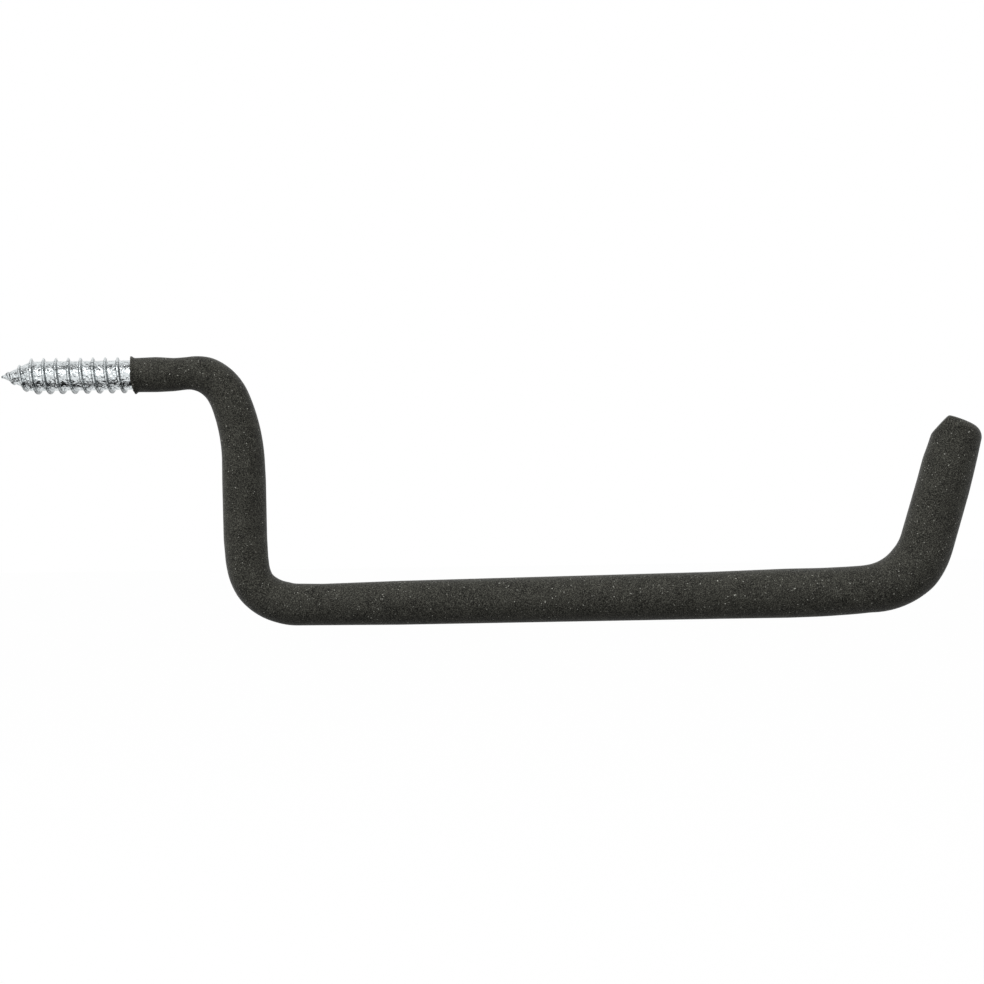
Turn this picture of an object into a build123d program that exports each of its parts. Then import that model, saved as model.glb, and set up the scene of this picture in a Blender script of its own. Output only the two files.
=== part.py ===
from build123d import *
from itertools import pairwise
from math import atan2, cos, degrees, radians, sin, tan
import os

# Ladder hook: a steel rod with a lag thread, bent into a cradle and dipped in vinyl up to a lip.
# Millimetres and degrees. The origin is on the screw axis, at the top of the coat's lip, where the
# wall's face comes when the hook is driven home. +X leaves the wall, +Z is up, Y runs across.

# Steel rod and its lag thread
rod_diameter = 6.5
thread_pitch = 2.72
thread_turns = 10
point_length = 6.5
point_lead = 1.2
point_flat_diameter = 0.3
ridge_height = 0.75
ridge_root_width = 0.95
ridge_crest_width = 0.25
ridge_sink = 0.3
crest_taper_length = 7.0
runout_length = 0.7
runout_gap = 0.15
ridge_foot_share = 0.8

# Bends of the rod, from the wall to the toe
collar_run = 7.4
neck_run = 5.9
crank_radius = 9.3
ease_radius = 39.0
ease_angle = 20.7
drop_lean = 1.1
drop_run = 21.05
elbow_radius = 11.0
arm_rise = 0.6
arm_run = 113.9
bow_radius = 120.0
bow_angle = 6.3
toe_radius = 14.5
toe_slope = 73.7
toe_run = 24.9
bend_entry_share = 0.5

# Thickness of the coat, from the lip to the toe's end
lip_wall = 0.5
collar_wall = 0.6
neck_wall = 0.33
crank_wall = 1.13
ease_wall = 1.35
elbow_wall = 1.45
bow_wall = 2.07
toe_bend_wall = 2.85
toe_start_wall = 2.8
toe_end_wall = 2.2
toe_cover = 2.7

# Lip and snipped toe of the coat
lip_lag = 1.13
lip_bow = 0.32
flare_height = 0.55
flare_length = 1.1
end_slant = 6.0
end_round = 2.6
snip_angle = 26.0
snip_round = 0.6
snip_offset_share = 0.54

# Sizes that follow from those above
rod_radius = rod_diameter / 2
thread_radius = rod_radius + ridge_height
ridge_run = thread_turns * thread_pitch
thread_length = ridge_run + point_lead
shank_length = collar_run + neck_run
ridge_foot_radius = ridge_foot_share * rod_radius * point_lead / point_length
lip_radius = rod_radius + lip_wall + flare_height
toe_end_radius = rod_radius + toe_end_wall
crank_angle = 90 - drop_lean - ease_angle
elbow_angle = 90 - drop_lean + arm_rise
toe_angle = toe_slope - arm_rise - bow_angle
overrun = rod_diameter


def straight(before, length):
    """A straight run that goes on from the end of another."""
    return Line(before @ 1, before @ 1 + length * (before % 1))


def bend(before, radius, angle):
    """A tangent bend that goes on from the end of another run, upwards for a positive angle."""
    return JernArc(before @ 1, before % 1, radius, angle)


def section_plane(run, share):
    """The plane square to a run at a share of its length."""
    return Plane(origin=run @ share, x_dir=(0, 1, 0), z_dir=run % share)


# Centreline of the bent rod. The crank and the toe's bend are in two runs each, so that the coat
# can swell within them.
with BuildLine(Plane.XZ) as centreline:
    collar = Line((0, 0), (collar_run, 0))
    neck = straight(collar, neck_run)
    crank_entry = bend(neck, crank_radius, -crank_angle * bend_entry_share)
    crank_exit = bend(crank_entry, crank_radius, -crank_angle * (1 - bend_entry_share))
    ease = bend(crank_exit, ease_radius, -ease_angle)
    drop = straight(ease, drop_run)
    elbow = bend(drop, elbow_radius, elbow_angle)
    arm = straight(elbow, arm_run)
    bow = bend(arm, bow_radius, bow_angle)
    toe_entry = bend(bow, toe_radius, toe_angle * bend_entry_share)
    toe_exit = bend(toe_entry, toe_radius, toe_angle * (1 - bend_entry_share))
    toe_limb = straight(toe_exit, toe_run)

with BuildLine(Plane.XZ) as coat_end_line:
    coat_limb = straight(toe_exit, toe_run + toe_cover + toe_end_radius * tan(radians(end_slant)))

bent_runs = [crank_entry, crank_exit, ease, drop, elbow, arm, bow, toe_entry, toe_exit]
coat_walls = [lip_wall, collar_wall, neck_wall, crank_wall, ease_wall, ease_wall, elbow_wall, elbow_wall]
coat_walls += [bow_wall, bow_wall, toe_bend_wall, toe_start_wall, toe_end_wall]

# Helical ridge of the lag thread, deep enough to show on the cone point too
with BuildPart() as ridge:
    with BuildLine():
        crest_helix = Helix(
            thread_pitch, ridge_run, thread_radius, center=(-ridge_run, 0, 0), direction=(1, 0, 0)
        )
    crest_start = crest_helix @ 0
    outward = Vector(0, crest_start.Y, crest_start.Z)
    flank_slope = (ridge_root_width - ridge_crest_width) / 2 / ridge_height
    half_crest = ridge_crest_width / 2
    half_foot = ridge_root_width / 2 + ridge_sink * flank_slope
    flank_depth = ridge_height + ridge_sink
    foot_depth = thread_radius - ridge_foot_radius
    with BuildSketch(Plane(origin=crest_start, x_dir=outward, z_dir=crest_helix % 0)):
        with BuildLine():
            Polyline(
                (0, half_crest), (-flank_depth, half_foot), (-foot_depth, half_foot),
                (-foot_depth, -half_foot), (-flank_depth, -half_foot), (0, -half_crest),
                close=True,
            )
        make_face()
    sweep(path=crest_helix, is_frenet=True)
    # The ridge grows along the point, and runs out into the rod just short of the lip
    trim_radius = thread_radius + ridge_height
    full_crest_x = -thread_length + point_length
    crest_run = crest_taper_length / thread_radius
    sink_run = runout_length / ridge_height
    with BuildSketch(Plane.XZ):
        with BuildLine():
            Polyline(
                (full_crest_x - crest_run * thread_radius, 0),
                (full_crest_x + crest_run * ridge_height, trim_radius),
                (-runout_gap - sink_run * (2 * ridge_height + ridge_sink), trim_radius),
                (-runout_gap, rod_radius - ridge_sink),
                (-runout_gap, 0),
                close=True,
            )
        make_face()
    revolve(axis=Axis.X, mode=Mode.INTERSECT)

# Rod: cone point, core and straight shank turned about the screw axis, the thread's ridge, then the
# bent length
with BuildPart() as steel_rod:
    with BuildSketch(Plane.XZ):
        with BuildLine():
            Polyline(
                (-thread_length, 0), (-thread_length, point_flat_diameter / 2),
                (-thread_length + point_length, rod_radius), (shank_length, rod_radius), (shank_length, 0),
                close=True,
            )
        make_face()
    revolve(axis=Axis.X)
    add(ridge.part)
    with BuildSketch(section_plane(crank_entry, 0)):
        Circle(rod_radius)
    sweep(path=Wire([*bent_runs, toe_limb]))

# Coat: one tapered sweep for each run, then its toe, its lip and the bore that the rod fills
with BuildPart() as vinyl_coat:
    for run, walls in zip([collar, neck, *bent_runs, coat_limb], pairwise(coat_walls)):
        for share, wall in enumerate(walls):
            with BuildSketch(section_plane(run, share)):
                Circle(rod_radius + wall)
        sweep(path=Wire([run]), multisection=True)

    # The toe is cut off a little askew and rounded, then snipped on its inner side
    limb_way = toe_limb % 1
    toe_end = toe_limb @ 1 + toe_cover * limb_way
    end_normal = limb_way.rotate(Axis.Y, end_slant)
    split(bisect_by=Plane(origin=toe_end, x_dir=(0, 1, 0), z_dir=end_normal), keep=Keep.BOTTOM)
    end_face = vinyl_coat.faces().filter_by(GeomType.PLANE).sort_by_distance(toe_end)[0]
    fillet(end_face.edges(), end_round)
    snip_offset = snip_offset_share * toe_end_radius
    snip_top = Vector(-snip_offset, snip_offset * tan(radians(end_slant)))
    snip_way = Vector(sin(radians(snip_angle)), cos(radians(snip_angle)))
    snip_reach = 2 * toe_end_radius
    snip_foot = snip_top - snip_reach * snip_way
    snip_head = snip_top + overrun * snip_way
    with BuildSketch(Plane(origin=toe_end, x_dir=Vector(0, 1, 0).cross(limb_way), z_dir=(0, -1, 0))):
        with BuildLine():
            Polyline(
                (snip_foot.X, snip_foot.Y), (snip_head.X, snip_head.Y), (snip_foot.X, snip_head.Y),
                close=True,
            )
        make_face()
    extrude(amount=snip_reach, both=True, mode=Mode.SUBTRACT)
    snip_face = vinyl_coat.faces().filter_by(GeomType.PLANE).sort_by_distance(toe_end)[1]
    fillet(snip_face.edges(), snip_round)

    # The lip flares a little, and its lower edge lags behind the upper one
    lip_lean = Vector(2 * lip_radius, 0, lip_lag).normalized()
    with BuildSketch(Plane(origin=(lip_lag / 2 - lip_bow, 0, 0), x_dir=(0, 1, 0), z_dir=lip_lean)):
        Circle(lip_radius)
    flare_reach = flare_length * (flare_height + lip_wall) / flare_height
    extrude(amount=lip_bow + flare_reach, taper=degrees(atan2(flare_height, flare_length)))
    with BuildSketch(Plane.XZ):
        with BuildLine():
            SagittaArc((0, lip_radius), (lip_lag, -lip_radius), lip_bow)
            Polyline(
                (lip_lag, -lip_radius), (lip_lag, -lip_radius - overrun), (-overrun, -lip_radius - overrun),
                (-overrun, lip_radius + overrun), (0, lip_radius + overrun), (0, lip_radius),
            )
        make_face()
    extrude(amount=lip_radius + overrun, both=True, mode=Mode.SUBTRACT)
    add(steel_rod.part, mode=Mode.SUBTRACT)

os.makedirs("parts", exist_ok=True)
steel_rod.part.label = "steel_rod"
vinyl_coat.part.label = "vinyl_coat"
export_step(steel_rod.part, "parts/steel_rod.step")
export_step(vinyl_coat.part, "parts/vinyl_coat.step")
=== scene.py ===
"""Looks of a ladder hook: a bent steel rod with a lag thread, dipped in charcoal vinyl up to a lip.

The meshes are in metres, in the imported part's own frame, and the hook's sizes are written in millimetres.
The origin is on the screw axis at the top of the coat's lip, +X leaves the wall, +Z is up, and the camera
stands on the -Y side.
"""

import logging
import math
from dataclasses import dataclass, field
from enum import Enum

import bpy
import numpy as np
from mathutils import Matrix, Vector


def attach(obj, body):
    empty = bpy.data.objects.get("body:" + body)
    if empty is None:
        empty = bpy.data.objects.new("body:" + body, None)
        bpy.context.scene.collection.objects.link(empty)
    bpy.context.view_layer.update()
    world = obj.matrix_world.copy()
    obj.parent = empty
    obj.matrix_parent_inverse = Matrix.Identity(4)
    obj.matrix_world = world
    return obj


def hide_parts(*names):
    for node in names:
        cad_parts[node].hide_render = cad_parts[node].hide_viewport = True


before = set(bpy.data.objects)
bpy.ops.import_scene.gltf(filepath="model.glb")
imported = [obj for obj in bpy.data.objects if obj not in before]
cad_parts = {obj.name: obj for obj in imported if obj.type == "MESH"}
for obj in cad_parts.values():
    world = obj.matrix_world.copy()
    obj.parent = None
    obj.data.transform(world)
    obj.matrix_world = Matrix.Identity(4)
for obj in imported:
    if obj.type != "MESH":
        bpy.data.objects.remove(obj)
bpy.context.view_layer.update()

MM = 0.001
TURN = 2 * math.pi
QUARTER = math.pi / 2
WHITE = (1.0, 1.0, 1.0, 1.0)
# Places of the Mix node's colour sockets, which share their names with its other sockets
MIX_UNDER, MIX_OVER, MIX_RESULT = 6, 7, 2

Colour = tuple[float, float, float]
Place = tuple[float, float, float]
Span = tuple[float, float]
Socket = bpy.types.NodeSocket

log = logging.getLogger("ladder_hook")


class Node(Enum):
    """The CAD nodes that the pieces stand for."""

    ROD = "steel_rod"
    COAT = "vinyl_coat"


class Slot(Enum):
    """The record's material slots."""

    STEEL = "zinc_steel"
    VINYL = "charcoal_vinyl"


def smoothstep(low: float, high: float, value: np.ndarray) -> np.ndarray:
    """An S-curve from 0 at low to 1 at high.

    Args:
        low: Where the curve leaves 0.
        high: Where the curve reaches 1.
        value: The places to work it out at.

    Returns:
        The curve's heights, 3t^2 - 2t^3 with t running from low to high.
    """
    t = np.clip((value - low) / (high - low), 0.0, 1.0)
    return t * t * (3 - 2 * t)


def closed_tube(name: str, rings: np.ndarray, first: np.ndarray, last: np.ndarray) -> bpy.types.Object:
    """A closed skin through a row of rings, with a pole at each end.

    Args:
        name: The piece's name.
        rings: Points as (rows, columns, 3). A column runs on into the first one.
        first: The pole before the first ring.
        last: The pole after the last ring.

    Returns:
        The new object, smooth shaded, at the origin.
    """
    rows, columns, _ = rings.shape
    index = np.arange(rows * columns).reshape(rows, columns)
    beside = np.roll(index, -1, axis=1)
    quads = np.stack([index[:-1], beside[:-1], beside[1:], index[1:]], axis=-1).reshape(-1, 4)
    start, end = rows * columns, rows * columns + 1
    fan_first = np.stack([beside[0], index[0], np.full(columns, start)], axis=-1)
    fan_last = np.stack([index[-1], beside[-1], np.full(columns, end)], axis=-1)
    points = np.vstack([rings.reshape(-1, 3), first, last])
    corners = np.concatenate([quads.ravel(), fan_first.ravel(), fan_last.ravel()])
    sides = np.concatenate([np.full(len(quads), 4), np.full(2 * columns, 3)])
    mesh = bpy.data.meshes.new(name)
    mesh.vertices.add(len(points))
    mesh.vertices.foreach_set("co", points.astype(np.float32).ravel())
    mesh.loops.add(len(corners))
    mesh.loops.foreach_set("vertex_index", corners.astype(np.int32))
    mesh.polygons.add(len(sides))
    mesh.polygons.foreach_set("loop_start", (np.cumsum(sides) - sides).astype(np.int32))
    mesh.polygons.foreach_set("use_smooth", np.ones(len(sides), dtype=bool))
    mesh.update(calc_edges=True)
    mesh.validate()
    piece = bpy.data.objects.new(name, mesh)
    bpy.context.scene.collection.objects.link(piece)
    return piece


def add_attribute(piece: bpy.types.Object, name: str, values: np.ndarray) -> None:
    """Stores one number for each of a piece's points, for its finish to read.

    Args:
        piece: The piece.
        name: The attribute's name.
        values: One number for each ring point; the two poles get 0.
    """
    layer = piece.data.attributes.new(name, "FLOAT", "POINT")
    layer.data.foreach_set("value", np.append(values.ravel(), [0.0, 0.0]).astype(np.float32))


@dataclass
class HookLine:
    """The bent rod's centreline, in the XZ plane, in millimetres and degrees."""

    collar_run: float = 7.4
    neck_run: float = 5.9
    crank_radius: float = 9.3
    ease_radius: float = 39.0
    ease_angle: float = 20.7
    drop_lean: float = 1.1
    drop_run: float = 21.05
    elbow_radius: float = 11.0
    arm_rise: float = 0.6
    arm_run: float = 113.9
    bow_radius: float = 120.0
    bow_angle: float = 6.3
    toe_radius: float = 14.5
    toe_slope: float = 73.7
    toe_run: float = 24.9
    toe_cover: float = 2.7
    step: float = 0.02
    joints: np.ndarray = field(init=False)
    headings: np.ndarray = field(init=False)
    starts: dict[str, float] = field(init=False)
    lengths: dict[str, float] = field(init=False)
    ways: np.ndarray = field(init=False)
    places_x: np.ndarray = field(init=False)
    places_z: np.ndarray = field(init=False)

    def __post_init__(self) -> None:
        """Works out the line: the heading turns evenly along each bend, and the place is its sum."""
        crank = 90 - self.drop_lean - self.ease_angle
        elbow = 90 - self.drop_lean + self.arm_rise
        toe = self.toe_slope - self.arm_rise - self.bow_angle
        runs = {
            "collar": (self.collar_run, 0.0),
            "neck": (self.neck_run, 0.0),
            "crank": self.bend(self.crank_radius, -crank),
            "ease": self.bend(self.ease_radius, -self.ease_angle),
            "drop": (self.drop_run, 0.0),
            "elbow": self.bend(self.elbow_radius, elbow),
            "arm": (self.arm_run, 0.0),
            "bow": self.bend(self.bow_radius, self.bow_angle),
            "toe": self.bend(self.toe_radius, toe),
            "limb": (self.toe_run, 0.0),
            "cover": (self.toe_cover, 0.0),
        }
        lengths = np.array([length for length, _ in runs.values()])
        turns = np.array([turn for _, turn in runs.values()])
        self.joints = np.concatenate([[0.0], np.cumsum(lengths)])
        self.headings = np.radians(np.concatenate([[0.0], np.cumsum(turns)]))
        self.starts = dict(zip(runs, self.joints[:-1]))
        self.lengths = dict(zip(runs, lengths))
        self.ways = np.linspace(0.0, self.joints[-1], int(self.joints[-1] / self.step) + 1)
        heading = np.interp(self.ways, self.joints, self.headings)
        middle = (heading[1:] + heading[:-1]) / 2
        gap = np.diff(self.ways)
        self.places_x = np.concatenate([[0.0], np.cumsum(np.cos(middle) * gap)])
        self.places_z = np.concatenate([[0.0], np.cumsum(np.sin(middle) * gap)])

    @staticmethod
    def bend(radius: float, angle: float) -> tuple[float, float]:
        """A bend's length and turn."""
        return radius * math.radians(abs(angle)), angle

    def at(self, run: str, share: float) -> float:
        """The way along the line to a share of a named run."""
        return self.starts[run] + share * self.lengths[run]

    def skin(self, way: np.ndarray, around: np.ndarray, radius: np.ndarray) -> np.ndarray:
        """Points at a radius from the line: the line's place plus the radius, turned from its upper side.

        Args:
            way: Distance along the line. Before 0 it is on the straight screw axis, past the end it goes
                straight on.
            around: Angle in radians from the upper side towards the camera.
            radius: Distance from the line.

        Returns:
            Points in metres, with one more axis than the inputs.
        """
        held = np.clip(way, 0.0, self.ways[-1])
        heading = np.interp(held, self.joints, self.headings)
        beyond = way - held
        up = radius * np.cos(around)
        x = np.interp(held, self.ways, self.places_x) + beyond * np.cos(heading) - up * np.sin(heading)
        y = -radius * np.sin(around)
        z = np.interp(held, self.ways, self.places_z) + beyond * np.sin(heading) + up * np.cos(heading)
        return MM * np.stack([x, y, z], axis=-1)


def add_node(nodes: bpy.types.Nodes, kind: str, **settings: object) -> bpy.types.Node:
    """Adds a shader node and sets its properties.

    Args:
        nodes: The tree's nodes.
        kind: The node's type name.
        settings: Properties to set on it.

    Returns:
        The new node.
    """
    made = nodes.new(kind)
    for name, value in settings.items():
        setattr(made, name, value)
    return made


def fleck_group() -> bpy.types.NodeTree:
    """A shared effect: fine noise cut into soft-edged flecks.

    Returns:
        A node group with the inputs Vector, Size, Detail, Low and High, and the output Mask. The mask is
        noise of that grain size, run through an S-curve from Low to High.
    """
    tree = bpy.data.node_groups.new("flecks", "ShaderNodeTree")
    tree.interface.new_socket(name="Vector", in_out="INPUT", socket_type="NodeSocketVector")
    for name in ("Size", "Detail", "Low", "High"):
        tree.interface.new_socket(name=name, in_out="INPUT", socket_type="NodeSocketFloat")
    tree.interface.new_socket(name="Mask", in_out="OUTPUT", socket_type="NodeSocketFloat")
    nodes, links = tree.nodes, tree.links
    given = nodes.new("NodeGroupInput")
    put = nodes.new("NodeGroupOutput")
    scale = add_node(nodes, "ShaderNodeMath", operation="DIVIDE")
    scale.inputs[0].default_value = 1.0
    noise = nodes.new("ShaderNodeTexNoise")
    cut = add_node(nodes, "ShaderNodeMapRange", interpolation_type="SMOOTHSTEP")
    links.new(given.outputs["Size"], scale.inputs[1])
    links.new(given.outputs["Vector"], noise.inputs["Vector"])
    links.new(scale.outputs[0], noise.inputs["Scale"])
    links.new(given.outputs["Detail"], noise.inputs["Detail"])
    links.new(noise.outputs["Fac"], cut.inputs["Value"])
    links.new(given.outputs["Low"], cut.inputs["From Min"])
    links.new(given.outputs["High"], cut.inputs["From Max"])
    links.new(cut.outputs["Result"], put.inputs["Mask"])
    return tree


@dataclass(frozen=True)
class Fleck:
    """One use of the fleck effect: its grain size in metres, where its noise is cut, and finer layers."""

    size: float
    low: float
    high: float
    layers: float = 2.0


@dataclass
class Finish:
    """A material under way: its tree, its shader and the place that its patterns read."""

    name: str
    flecks: bpy.types.NodeTree
    material: bpy.types.Material = field(init=False)
    nodes: bpy.types.Nodes = field(init=False)
    links: bpy.types.NodeLinks = field(init=False)
    shader: bpy.types.Node = field(init=False)
    place: Socket = field(init=False)

    def __post_init__(self) -> None:
        """Starts the material with a Principled shader and Object coordinates."""
        self.material = bpy.data.materials.new(self.name)
        self.material.use_nodes = True
        self.nodes = self.material.node_tree.nodes
        self.links = self.material.node_tree.links
        self.shader = self.nodes["Principled BSDF"]
        self.place = self.nodes.new("ShaderNodeTexCoord").outputs["Object"]

    def fleck(self, kind: Fleck) -> Socket:
        """Places the shared fleck effect.

        Args:
            kind: Its grain size, levels and layers.

        Returns:
            The mask's socket.
        """
        group = add_node(self.nodes, "ShaderNodeGroup", node_tree=self.flecks)
        self.links.new(self.place, group.inputs["Vector"])
        values = {"Size": kind.size, "Detail": kind.layers, "Low": kind.low, "High": kind.high}
        for name, value in values.items():
            group.inputs[name].default_value = value
        return group.outputs["Mask"]

    def blend(self, mask: Socket, under: Colour | Socket, over: Colour | Socket) -> Socket:
        """Lays one colour over another by a mask.

        Args:
            mask: Where the upper colour shows.
            under: A colour or a colour socket.
            over: A colour or a colour socket.

        Returns:
            The mixed colour's socket.
        """
        mix = add_node(self.nodes, "ShaderNodeMix", data_type="RGBA")
        self.links.new(mask, mix.inputs["Factor"])
        for socket, colour in ((mix.inputs[MIX_UNDER], under), (mix.inputs[MIX_OVER], over)):
            if isinstance(colour, Socket):
                self.links.new(colour, socket)
            else:
                socket.default_value = (*colour, 1.0)
        return mix.outputs[MIX_RESULT]

    def maths(self, operation: str, first: float | Socket, second: float | Socket) -> Socket:
        """One sum of two values or sockets, held between 0 and 1.

        Args:
            operation: The Math node's operation.
            first: A number or a socket.
            second: A number or a socket.

        Returns:
            The result's socket.
        """
        node = add_node(self.nodes, "ShaderNodeMath", operation=operation, use_clamp=True)
        for socket, value in zip(node.inputs, (first, second)):
            if isinstance(value, Socket):
                self.links.new(value, socket)
            else:
                socket.default_value = value
        return node.outputs[0]

    def span(self, mask: Socket, low: float, high: float) -> Socket:
        """Spreads a mask over a span of values.

        Args:
            mask: The mask, from 0 to 1.
            low: The value where the mask is 0.
            high: The value where the mask is 1.

        Returns:
            The value's socket.
        """
        spread = self.nodes.new("ShaderNodeMapRange")
        self.links.new(mask, spread.inputs["Value"])
        spread.inputs["To Min"].default_value = low
        spread.inputs["To Max"].default_value = high
        return spread.outputs["Result"]

    def bump(self, height: Socket, strength: float, depth: float) -> None:
        """Feeds a height through a Bump node to the shader's normal.

        Args:
            height: The height, from 0 to 1.
            strength: How strongly the relief shows.
            depth: The relief's depth in metres.
        """
        bump = self.nodes.new("ShaderNodeBump")
        bump.inputs["Strength"].default_value = strength
        bump.inputs["Distance"].default_value = depth
        self.links.new(height, bump.inputs["Height"])
        self.links.new(bump.outputs["Normal"], self.shader.inputs["Normal"])


@dataclass(frozen=True)
class CharcoalVinyl:
    """Matt dipped vinyl: a warm charcoal with a fine salt-and-pepper grain and sparse pale specks."""

    dark: Colour = (0.005, 0.0049, 0.0036)
    pale: Colour = (0.095, 0.094, 0.079)
    speck: Colour = (0.40, 0.40, 0.36)
    grain: Fleck = Fleck(0.20 * MM, 0.43, 0.64)
    cloud: Fleck = Fleck(3.0 * MM, 0.30, 0.70)
    specks: Fleck = Fleck(0.32 * MM, 0.77, 0.85, 0.0)
    grain_share: float = 0.85
    cloud_share: float = 0.12
    roughness: Span = (0.7, 0.85)
    specular: float = 0.12
    sheen: float = 0.26
    sheen_roughness: float = 0.35
    bump_strength: float = 0.35
    bump_depth: float = 0.08 * MM

    def make(self, flecks: bpy.types.NodeTree) -> bpy.types.Material:
        """Builds the material: two colours mixed by fine grain and faint clouds, with specks on top.

        Args:
            flecks: The shared fleck effect.

        Returns:
            The material.
        """
        finish = Finish("charcoal_vinyl", flecks)
        shader = finish.shader.inputs
        grain = finish.fleck(self.grain)
        grained = finish.maths("MULTIPLY", grain, self.grain_share)
        clouded = finish.span(finish.fleck(self.cloud), 0.0, self.cloud_share)
        base = finish.blend(finish.maths("ADD", grained, clouded), self.dark, self.pale)
        specked = finish.blend(finish.fleck(self.specks), base, self.speck)
        finish.links.new(specked, shader["Base Color"])
        finish.links.new(finish.span(grain, *self.roughness), shader["Roughness"])
        shader["Specular IOR Level"].default_value = self.specular
        shader["Sheen Weight"].default_value = self.sheen
        shader["Sheen Roughness"].default_value = self.sheen_roughness
        finish.bump(grain, self.bump_strength, self.bump_depth)
        return finish.material


@dataclass(frozen=True)
class BrightZinc:
    """Bright zinc plating on a rolled thread: mottled, with dark flecks and painted shade on the thread's
    ridges.
    """

    light: Colour = (0.75, 0.79, 0.80)
    grey: Colour = (0.45, 0.48, 0.49)
    # dark is the colour of the flecks and of the painted shade on the thread's ridges.
    dark: Colour = (0.05, 0.056, 0.059)
    mottle: Fleck = Fleck(0.75 * MM, 0.35, 0.70, 1.0)
    spots: Fleck = Fleck(0.42 * MM, 0.62, 0.70, 1.0)
    mottle_share: float = 0.35
    painted_shade_share: float = 0.8
    spot_share: float = 0.6
    roughness: Span = (0.16, 0.34)
    bump_strength: float = 1.0
    bump_depth: float = 0.12 * MM

    def make(self, flecks: bpy.types.NodeTree) -> bpy.types.Material:
        """Builds the material: a mottled light metal, with painted shade on the thread's ridges and small
        dark flecks.

        Args:
            flecks: The shared fleck effect.

        Returns:
            The material.
        """
        finish = Finish("zinc_steel", flecks)
        shader = finish.shader.inputs
        mottle = finish.fleck(self.mottle)
        # The thread's attribute masks painted shade on its flanks, its crest's underside and its tip, where
        # dark is blended in.
        painted_shade = add_node(finish.nodes, "ShaderNodeAttribute", attribute_name="painted_shade").outputs["Fac"]
        base = finish.blend(finish.maths("MULTIPLY", mottle, self.mottle_share), self.light, self.grey)
        shaded = finish.blend(finish.maths("MULTIPLY", painted_shade, self.painted_shade_share), base, self.dark)
        spots = finish.maths("MULTIPLY", finish.fleck(self.spots), self.spot_share)
        finish.links.new(finish.blend(spots, shaded, self.dark), shader["Base Color"])
        finish.links.new(finish.span(mottle, *self.roughness), shader["Roughness"])
        shader["Metallic"].default_value = 1.0
        finish.bump(mottle, self.bump_strength, self.bump_depth)
        return finish.material


@dataclass(frozen=True)
class Band:
    """A soft band of heights: a mask that comes in over one span of heights and goes out over another."""

    come: Span
    go: Span

    def mask(self, height: np.ndarray) -> np.ndarray:
        """The band's mask at each height: one S-curve times what another leaves."""
        return smoothstep(*self.come, height) * (1 - smoothstep(*self.go, height))


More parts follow.
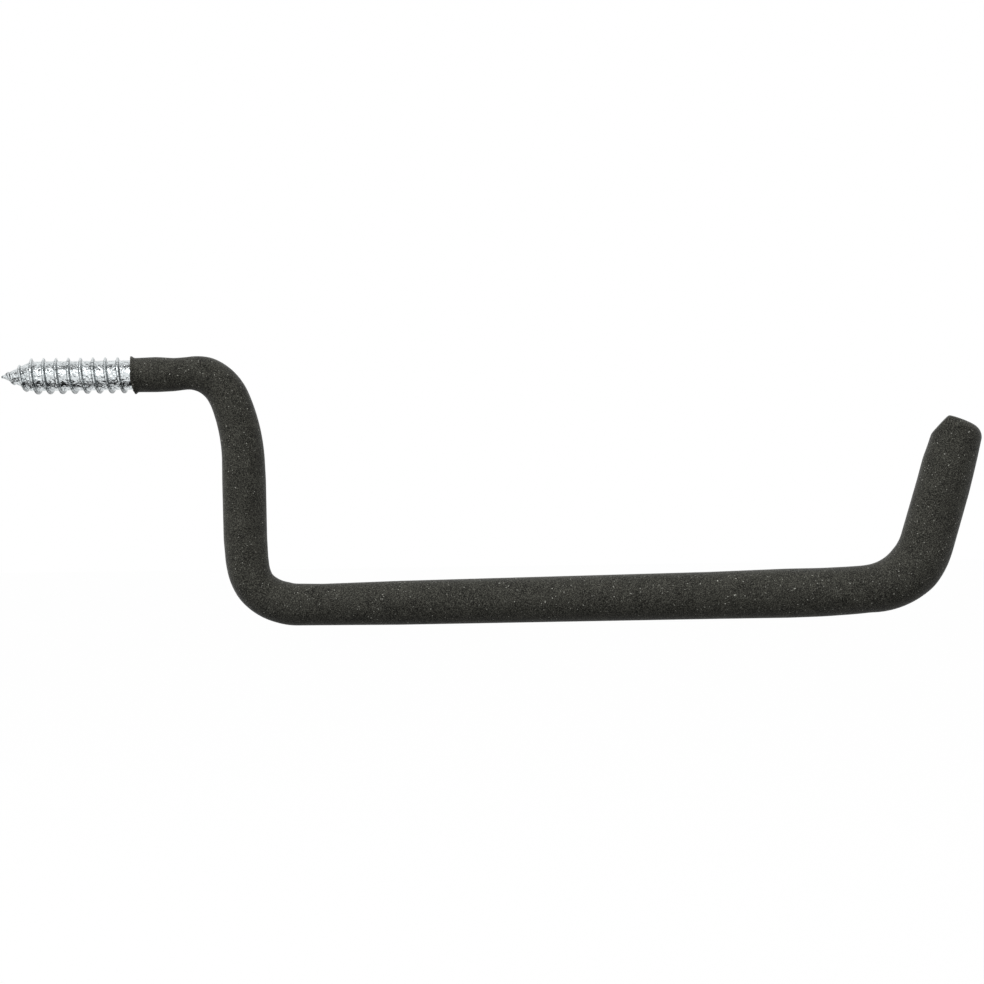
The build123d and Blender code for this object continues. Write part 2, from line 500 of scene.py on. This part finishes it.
@dataclass
class SteelRod:
    """The bent rod with its cone point and right-handed lag thread, in millimetres."""

    line: HookLine
    radius: float = 3.25
    pitch: float = 2.72
    thread_length: float = 28.4
    point_length: float = 6.5
    point_radius: float = 0.15
    ridge_height: float = 0.75
    root_width: float = 0.95
    crest_width: float = 0.25
    crest_taper: float = 7.0
    runout_from: float = 1.13
    runout_to: float = 0.43
    # Spans of the painted shade on the ridge: bands of height on the flanks, the crest's underside and lower
    # rim, and the tip.
    point_flank_shade: Band = Band((0.0, 0.2), (0.7, 1.0))
    lip_flank_shade: Band = Band((0.05, 0.35), (0.55, 0.95))
    soft_shade: float = 0.75
    under_rise: Span = (0.35, 0.9)
    under_turn: Span = (0.5, 0.95)
    rim_rise: Span = (0.7, 1.0)
    rim_turn: Span = (0.75, 0.93)
    tip_shade: Span = (0.1, 0.5)
    columns: int = 128
    thread_step: float = 0.055
    bend_step: float = 1.6

    def thread(self, along: np.ndarray, around: np.ndarray) -> tuple[np.ndarray, np.ndarray]:
        """The threaded end as a radius for each place along the axis and around it.

        The core is a cone that becomes a cylinder. A ridge stands on it wherever the place along the axis,
        less one pitch for each turn around, is near a whole number of pitches. Its height is cut by a cone
        along the point and fades out before the lip.

        Args:
            along: Place along the screw axis, 0 at the lip and negative towards the point.
            around: Angle in radians from the top towards the camera.

        Returns:
            The radius, and a mask that is 1 where the ridge is shaded.
        """
        from_tip = along + self.thread_length
        point_slope = (self.radius - self.point_radius) / self.point_length
        core = np.minimum(self.point_radius + from_tip * point_slope, self.radius)
        crest = self.radius + self.ridge_height
        crest_start = self.point_length - self.crest_taper
        cut = np.minimum(crest * (from_tip - crest_start) / self.crest_taper, crest)
        fade = 1 - smoothstep(-self.runout_from, -self.runout_to, along)
        turns = along / self.pitch - around / TURN
        past = (turns - np.round(turns)) * self.pitch
        flank_width = (self.root_width - self.crest_width) / 2
        rise = np.clip((self.root_width / 2 - np.abs(past)) / flank_width, 0.0, 1.0)
        height = np.maximum(cut - core, 0.0) * fade
        # The point's very tip gets painted shade too.
        tip = 1 - smoothstep(*self.tip_shade, from_tip)
        return core + height * rise, np.maximum(self.shade(rise, past, around) * fade, tip)

    def shade(self, rise: np.ndarray, past: np.ndarray, around: np.ndarray) -> np.ndarray:
        """Where shade is painted on the ridge: the largest of a band on each side, its underside and its
        lower rim.

        Args:
            rise: Height on the ridge, from 0 at its root to 1 at its crest.
            past: Distance from the ridge's middle, negative on the side towards the point.
            around: Angle in radians from the top towards the camera.

        Returns:
            The mask of painted shade at each place.
        """
        down = -np.cos(around)
        lip_flank_shade = self.soft_shade * self.lip_flank_shade.mask(rise)
        painted_shade = np.where(past < 0, self.point_flank_shade.mask(rise), lip_flank_shade)
        underside = smoothstep(*self.under_rise, rise) * smoothstep(*self.under_turn, down)
        rim = smoothstep(*self.rim_rise, rise) * smoothstep(*self.rim_turn, down)
        return np.maximum(painted_shade, np.maximum(self.soft_shade * underside, rim))

    def build(self) -> bpy.types.Object:
        """Builds the thread on a fine grid and the bent length on a coarser one, as one closed skin.

        Returns:
            The rod's object, with the attribute flank, which masks the painted shade on the thread.
        """
        rows = int(self.thread_length / self.thread_step)
        screw = np.linspace(-self.thread_length, 0.0, rows, endpoint=False)
        end = self.line.at("cover", 0.0)
        bent = np.linspace(0.0, end, int(end / self.bend_step) + 1)
        way = np.concatenate([screw, bent])[:, None]
        around = np.linspace(0.0, TURN, self.columns, endpoint=False)[None, :]
        radius, painted_shade = self.thread(np.minimum(way, 0.0), around)
        way, around = np.broadcast_arrays(way, around)
        rings = self.line.skin(way, around, radius)
        first = self.line.skin(np.array(-self.thread_length), np.array(0.0), np.array(0.0))
        last = self.line.skin(np.array(end), np.array(0.0), np.array(0.0))
        piece = closed_tube("threaded_rod", rings, first, last)
        add_attribute(piece, "painted_shade", painted_shade)
        return piece

    def dress(self, piece: bpy.types.Object, material: bpy.types.Material) -> None:
        """Gives the rod its plating and ties it to the frame.

        Args:
            piece: The rod's object.
            material: Its plating.
        """
        piece.data.materials.append(material)
        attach(piece, "root")
        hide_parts(Node.ROD.value)


@dataclass(frozen=True)
class Station:
    """The coat's thickness above and below the rod, in millimetres, at a share of a run of the line."""

    run: str
    share: float
    above: float
    below: float


def coat_stations() -> list[Station]:
    """The coat's thickness from the lip to the toe's end.

    Returns:
        The stations, in order along the line.
    """
    return [
        Station("collar", 0.0, 0.45, 0.55),
        Station("collar", 0.8, 0.65, 0.60),
        Station("neck", 0.4, 0.35, 0.45),
        Station("neck", 0.9, 0.55, 0.10),
        Station("crank", 0.3, 1.15, 0.45),
        Station("crank", 0.8, 1.10, 1.05),
        Station("ease", 0.5, 1.30, 1.30),
        Station("drop", 0.2, 1.55, 1.55),
        Station("drop", 0.8, 1.40, 1.65),
        Station("elbow", 0.1, 1.55, 1.30),
        Station("elbow", 0.4, 1.05, 1.45),
        Station("elbow", 0.8, 1.75, 1.05),
        Station("arm", 0.05, 1.45, 1.20),
        Station("arm", 0.2, 1.70, 1.50),
        Station("arm", 0.8, 2.00, 1.90),
        Station("arm", 0.95, 2.30, 2.05),
        Station("bow", 0.4, 2.25, 1.90),
        Station("bow", 0.9, 2.05, 1.95),
        Station("toe", 0.6, 2.70, 2.90),
        Station("toe", 0.95, 2.70, 2.50),
        Station("limb", 0.5, 2.55, 2.55),
        Station("limb", 0.7, 2.60, 2.40),
        Station("limb", 0.85, 2.30, 2.25),
        Station("cover", 1.0, 2.40, 1.90),
    ]


@dataclass
class VinylCoat:
    """The dipped coat with its flared, slanting lip and snipped toe, in millimetres and degrees."""

    line: HookLine
    rod_radius: float = 3.25
    stations: list[Station] = field(default_factory=coat_stations)
    easing: float = 1.3
    easing_steps: int = 21
    lip_start: float = 0.06
    lip_lag: float = 1.0
    lip_turn: float = 0.2
    lip_bow: float = 0.15
    lip_swing: float = 0.75
    lip_ripple: float = 0.05
    lip_ripples: int = 23
    lip_reach: float = 5.0
    lip_round: float = 0.10
    flare_top: float = 0.41
    flare_bottom: float = 0.42
    flare_hold: float = 0.35
    flare_length: float = 0.85
    end_slant: float = 6.0
    end_round: float = 2.6
    slant_reach: float = 9.0
    snip_angle: float = 27.5
    snip_turn: float = 8.0
    snip_place: float = 3.15
    snip_depth: float = -0.06
    snip_round: float = 0.26
    snip_from: float = 12.0
    snip_full: float = 7.0
    middle_share: float = 0.04
    columns: int = 128
    row_step: float = 0.55
    rim_rows: int = 5
    lip_rows: int = 24
    end_rows: int = 22
    flat_rows: int = 14

    def wall(self, way: np.ndarray, around: np.ndarray) -> np.ndarray:
        """The coat's thickness, which runs straight between stations and is eased by a moving average.

        Around the rod it goes from the one below to the one above as the cosine of the angle.

        Args:
            way: Distance along the line.
            around: Angle in radians from the upper side.

        Returns:
            The thickness at each place.
        """
        places = np.array([self.line.at(s.run, s.share) for s in self.stations])
        shifts = np.linspace(-self.easing, self.easing, self.easing_steps)
        weights = np.cos(shifts / self.easing * QUARTER) ** 2
        spread = np.asarray(way)[..., None] + shifts
        above, below = (
            (np.interp(spread, places, walls) * weights).sum(axis=-1) / weights.sum()
            for walls in ([s.above for s in self.stations], [s.below for s in self.stations])
        )
        return (above + below) / 2 + (above - below) / 2 * np.cos(around)

    def lip_edge(self, around: np.ndarray) -> np.ndarray:
        """How far the lip's edge lies out from the wall.

        The edge swings out with the sine of the angle, bows in at both sides, is swept out below as a
        square, and has a fine ripple.

        Args:
            around: Angles in radians from the upper side towards the camera.

        Returns:
            The way along the line of the edge at each angle.
        """
        height = np.cos(around)
        swept = np.clip((-height - self.lip_turn) / (1 - self.lip_turn), 0.0, 1.0)
        swing = self.lip_swing * np.sin(around)
        ripple = self.lip_ripple * np.sin(self.lip_ripples * around)
        bow = self.lip_bow * (1 - height**2)
        return self.lip_start + swing + ripple + self.lip_lag * swept**2 - bow

    def lip(self, around: np.ndarray) -> tuple[np.ndarray, np.ndarray]:
        """The lip's face, from the rod's skin out to its rounded edge.

        The face follows the edge, and a quarter round turns it into the coat's outside.

        Args:
            around: Angles, as one row.

        Returns:
            The way along the line and the radius of each ring.
        """
        edge = self.lip_edge(around)
        outer = self.rod_radius + self.wall(np.zeros(1), around) + self.flare(around, np.zeros_like(around))
        turn = np.linspace(0.0, QUARTER, self.rim_rows)[:-1, None]
        rim_radius = outer - self.lip_round * (1 - np.sin(turn))
        rim_way = edge + self.lip_round * (1 - np.cos(turn))
        inner = np.full_like(around, self.rod_radius - self.lip_round)
        return np.vstack([edge, rim_way]), np.vstack([inner, rim_radius])

    def flare(self, around: np.ndarray, past: np.ndarray) -> np.ndarray:
        """The lip's outward flare, which is held for a bead's width and then falls off as a square.

        Args:
            around: Angles in radians from the upper side.
            past: Distance past the lip's edge.

        Returns:
            The height to add to the radius at each place.
        """
        share = (1 - np.cos(around)) / 2
        height = self.flare_top + (self.flare_bottom - self.flare_top) * share
        return height * np.clip(1 - (past - self.flare_hold) / self.flare_length, 0.0, 1.0) ** 2

    def body(self, around: np.ndarray) -> tuple[np.ndarray, np.ndarray]:
        """The coat from behind the lip's edge to the start of the toe's rounded end.

        The radius is the rod's plus the wall and the flare. Rings near the lip are slid to follow its
        edge, less and less up to the lip's reach.

        Args:
            around: Angles, as one row.

        Returns:
            The way along the line and the radius of each ring.
        """
        end = self.line.joints[-1] - self.end_round
        near = np.linspace(self.lip_round, self.lip_reach, self.lip_rows)
        far = np.linspace(self.lip_reach, end, int(end / self.row_step))[1:]
        way = np.concatenate([near, far])[:, None]
        slide = np.clip(1 - way / self.lip_reach, 0.0, 1.0)
        slid = way + self.lip_edge(around) * slide
        radius = self.rod_radius + self.wall(way, around) + self.flare(around, way)
        return slid, radius

    def toe(self, around: np.ndarray) -> tuple[np.ndarray, np.ndarray]:
        """The toe's end: a quarter round of the rim, then flat towards the middle.

        Args:
            around: Angles, as one row.

        Returns:
            The way along the line and the radius of each ring.
        """
        end = self.line.joints[-1]
        full = self.rod_radius + self.wall(np.array([end - self.end_round]), around)
        turn = np.linspace(0.0, QUARTER, self.end_rows)[1:, None]
        rim = full - self.end_round * (1 - np.cos(turn))
        rim_way = np.broadcast_to(end - self.end_round * (1 - np.sin(turn)), rim.shape)
        flat = np.linspace(1.0, self.middle_share, self.flat_rows)[1:, None] * (full - self.end_round)
        return np.vstack([rim_way, np.full_like(flat, end)]), np.vstack([rim, flat])

    def snip(
        self, way: np.ndarray, up: np.ndarray, across: np.ndarray
    ) -> tuple[np.ndarray, np.ndarray, np.ndarray]:
        """Slants the toe's end and snips its inner side with a plane, turned a little about the limb.

        A point past the plane is pushed back onto it along the plane's normal, by a soft version of its
        distance: half of the distance plus the root of its square plus the rounding's square.

        Args:
            way: Distance along the line.
            up: Distance from the line towards its upper side.
            across: Distance from the line towards the camera.

        Returns:
            The moved way and distances.
        """
        end = self.line.joints[-1]
        slanting = smoothstep(end - self.slant_reach, end - self.end_round, way)
        way = way + up * slanting * math.tan(math.radians(self.end_slant))
        lean, turn = math.radians(self.snip_angle), math.radians(self.snip_turn)
        inward = up * math.cos(turn) - across * math.sin(turn) - self.snip_place
        past = inward * math.cos(lean) + (way - end + self.snip_depth) * math.sin(lean)
        push = (past + np.sqrt(past**2 + self.snip_round**2)) / 2
        push = push * smoothstep(end - self.snip_from, end - self.snip_full, way)
        sideways = push * math.cos(lean)
        moved_up = up - sideways * math.cos(turn)
        moved_across = across + sideways * math.sin(turn)
        return way - push * math.sin(lean), moved_up, moved_across

    def build(self) -> bpy.types.Object:
        """Builds the lip, the body and the toe as one closed skin.

        Returns:
            The coat's object.
        """
        around = np.linspace(0.0, TURN, self.columns, endpoint=False)[None, :]
        stretches = [self.lip(around), self.body(around), self.toe(around)]
        way = np.vstack([np.broadcast_to(w, (len(w), self.columns)) for w, _ in stretches])
        radius = np.vstack([np.broadcast_to(r, (len(r), self.columns)) for _, r in stretches])
        slid, up, across = self.snip(way, radius * np.cos(around), radius * np.sin(around))
        rings = self.line.skin(slid, np.arctan2(across, up), np.hypot(across, up))
        middle, rise, _ = self.snip(np.array([self.line.joints[-1]]), np.zeros(1), np.zeros(1))
        first = self.line.skin(np.array(self.lip_lag / 2), np.array(0.0), np.array(0.0))
        last = self.line.skin(middle, np.zeros(1), rise)[0]
        return closed_tube("dipped_coat", rings, first, last)

    def dress(self, piece: bpy.types.Object, material: bpy.types.Material) -> None:
        """Gives the coat its vinyl and ties it to the frame.

        Args:
            piece: The coat's object.
            material: Its vinyl.
        """
        piece.data.materials.append(material)
        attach(piece, "root")
        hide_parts(Node.COAT.value)


def seen_mask(tree: bpy.types.NodeTree) -> Socket:
    """A mask that is 1 for what the camera sees, directly, in a reflection or through glass.

    Args:
        tree: The tree to build it in.

    Returns:
        The mask's socket.
    """
    path = tree.nodes.new("ShaderNodeLightPath")
    seen = path.outputs["Is Camera Ray"]
    for ray in ("Is Glossy Ray", "Is Transmission Ray"):
        either = add_node(tree.nodes, "ShaderNodeMath", operation="MAXIMUM")
        tree.links.new(seen, either.inputs[0])
        tree.links.new(path.outputs[ray], either.inputs[1])
        seen = either.outputs[0]
    return seen


@dataclass(frozen=True)
class Card:
    """A curved card around the screw axis, which only reflections see.

    Its levels are pairs of an angle about the axis, in degrees from the back through the top, and a
    brightness.
    """

    name: str
    levels: tuple[Span, ...]


@dataclass
class Studio:
    """A white stage, a soft lamp, reflection cards and the camera, in metres."""

    aim: Place = (0.07946, 0.0, -0.02692)
    roll: float = 0.8
    distance: float = 0.420
    view_width: float = 0.21715
    sensor: float = 36.0
    floor_depth: float = 0.16
    floor_half: float = 3.0
    floor_colour: Colour = (0.95, 0.95, 0.95)
    floor_roughness: float = 0.9
    floor_white: float = 0.97
    world_up: float = 0.86
    world_down: float = 0.19
    key_place: Place = (-0.295, -0.48, 0.535)
    key_power: float = 5.6
    key_size: Span = (1.3, 0.6)
    card_radius: float = 0.14
    card_reach: float = 0.5
    card_rows: int = 64
    cards: tuple[Card, ...] = (
        Card("top_card", ((88, 1.0), (98, 0.45), (107, 0.04), (130, 0.02), (138, 0.8))),
        Card("front_card", (
            (176, 1.0), (204, 1.0), (220, 0.95), (231, 0.35),
            (240, 0.0), (268, 0.0), (280, 0.3), (291, 1.0),
        )),
    )

    def camera(self) -> None:
        """Stands the camera square to the hook, with a long lens for the photograph's distance."""
        data = bpy.data.cameras.new("camera")
        data.sensor_width = self.sensor
        data.lens = self.sensor * self.distance / self.view_width
        data.dof.use_dof = False
        camera = bpy.data.objects.new("camera", data)
        camera.location = (self.aim[0], self.aim[1] - self.distance, self.aim[2])
        camera.rotation_euler = (QUARTER, math.radians(self.roll), 0.0)
        bpy.context.scene.collection.objects.link(camera)
        bpy.context.scene.camera = camera

    def lamp(self) -> None:
        """Hangs the soft key lamp, which faces the hook."""
        data = bpy.data.lights.new("key", "AREA")
        data.shape = "RECTANGLE"
        data.energy = self.key_power
        data.size, data.size_y = self.key_size
        lamp = bpy.data.objects.new("key", data)
        lamp.location = self.key_place
        facing = np.array(self.aim) - np.array(self.key_place)
        lamp.rotation_mode = "QUATERNION"
        lamp.rotation_quaternion = Vector(facing).to_track_quat("-Z", "Y")
        bpy.context.scene.collection.objects.link(lamp)

    def sky(self) -> None:
        """A world that is white to the camera and in reflections, and lights the hook mostly from above."""
        world = bpy.data.worlds.new("sky")
        bpy.context.scene.world = world
        world.use_nodes = True
        nodes, links = world.node_tree.nodes, world.node_tree.links
        split = nodes.new("ShaderNodeSeparateXYZ")
        links.new(nodes.new("ShaderNodeTexCoord").outputs["Generated"], split.inputs[0])
        fill = nodes.new("ShaderNodeMapRange")
        links.new(split.outputs["Z"], fill.inputs["Value"])
        for name, value in (("From Min", -1.0), ("To Min", self.world_down), ("To Max", self.world_up)):
            fill.inputs[name].default_value = value
        shown = nodes.new("ShaderNodeMix")
        links.new(seen_mask(world.node_tree), shown.inputs["Factor"])
        links.new(fill.outputs["Result"], shown.inputs["A"])
        shown.inputs["B"].default_value = 1.0
        nodes["Background"].inputs["Color"].default_value = WHITE
        links.new(shown.outputs["Result"], nodes["Background"].inputs["Strength"])

    def card(self, card: Card) -> None:
        """Curves a card around the screw axis: an arc carried along it, with its brightness stored on it.

        Args:
            card: The card's name and levels.
        """
        angles, levels = np.array(card.levels).T
        fine = np.linspace(angles[0], angles[-1], self.card_rows)
        turn = np.radians(np.tile(fine, 2))
        x = np.repeat([-self.card_reach, self.card_reach], self.card_rows)
        points = np.stack([x, self.card_radius * np.cos(turn), self.card_radius * np.sin(turn)], axis=-1)
        index = np.arange(self.card_rows - 1)
        beyond = index + self.card_rows
        strips = np.stack([index, index + 1, beyond + 1, beyond], axis=-1)
        mesh = bpy.data.meshes.new(card.name)
        mesh.from_pydata(points.tolist(), [], strips.tolist())
        layer = mesh.attributes.new("level", "FLOAT", "POINT")
        layer.data.foreach_set("value", np.tile(np.interp(fine, angles, levels), 2).astype(np.float32))
        material = bpy.data.materials.new(card.name)
        material.use_nodes = True
        nodes, links = material.node_tree.nodes, material.node_tree.links
        nodes.remove(nodes["Principled BSDF"])
        glow = nodes.new("ShaderNodeEmission")
        level = add_node(nodes, "ShaderNodeAttribute", attribute_name="level")
        links.new(level.outputs["Fac"], glow.inputs["Strength"])
        links.new(glow.outputs[0], nodes["Material Output"].inputs["Surface"])
        mesh.materials.append(material)
        sheet = bpy.data.objects.new(card.name, mesh)
        bpy.context.scene.collection.objects.link(sheet)
        sheet.visible_camera = False
        sheet.visible_diffuse = False
        sheet.visible_shadow = False

    def floor(self) -> None:
        """A pale floor that looks white to the camera and in reflections, and still takes a faint shadow."""
        half, level = self.floor_half, -self.floor_depth
        corners = [(-half, -half, level), (half, -half, level), (half, half, level), (-half, half, level)]
        mesh = bpy.data.meshes.new("floor")
        mesh.from_pydata(corners, [], [(0, 1, 2, 3)])
        floor = bpy.data.objects.new("floor", mesh)
        bpy.context.scene.collection.objects.link(floor)
        material = bpy.data.materials.new("floor_paper")
        material.use_nodes = True
        nodes, links = material.node_tree.nodes, material.node_tree.links
        paper = nodes["Principled BSDF"]
        paper.inputs["Base Color"].default_value = (*self.floor_colour, 1.0)
        paper.inputs["Roughness"].default_value = self.floor_roughness
        paper.inputs["Specular IOR Level"].default_value = 0.0
        glow = nodes.new("ShaderNodeEmission")
        glow.inputs["Strength"].default_value = 1.0
        share = add_node(nodes, "ShaderNodeMath", operation="MULTIPLY")
        links.new(seen_mask(material.node_tree), share.inputs[0])
        share.inputs[1].default_value = self.floor_white
        mix = nodes.new("ShaderNodeMixShader")
        links.new(share.outputs[0], mix.inputs["Fac"])
        links.new(paper.outputs[0], mix.inputs[1])
        links.new(glow.outputs[0], mix.inputs[2])
        links.new(mix.outputs[0], nodes["Material Output"].inputs["Surface"])
        mesh.materials.append(material)
        floor.visible_diffuse = False

    def build(self) -> None:
        """Sets the camera, the lamp, the sky, the floor and the cards."""
        self.camera()
        self.lamp()
        self.sky()
        self.floor()
        for card in self.cards:
            self.card(card)
        bpy.context.scene.view_settings.view_transform = "Standard"


def main() -> None:
    """Builds the stage, the rod and the coat, and reports each piece."""
    logging.basicConfig(level=logging.INFO)
    Studio().build()
    flecks = fleck_group()
    line = HookLine()
    rod = SteelRod(line)
    coat = VinylCoat(line)
    for part, finish in ((rod, BrightZinc()), (coat, CharcoalVinyl())):
        piece = part.build()
        part.dress(piece, finish.make(flecks))
        log.info("%s: %d faces", piece.name, len(piece.data.polygons))


if __name__ == "__main__":
    main()
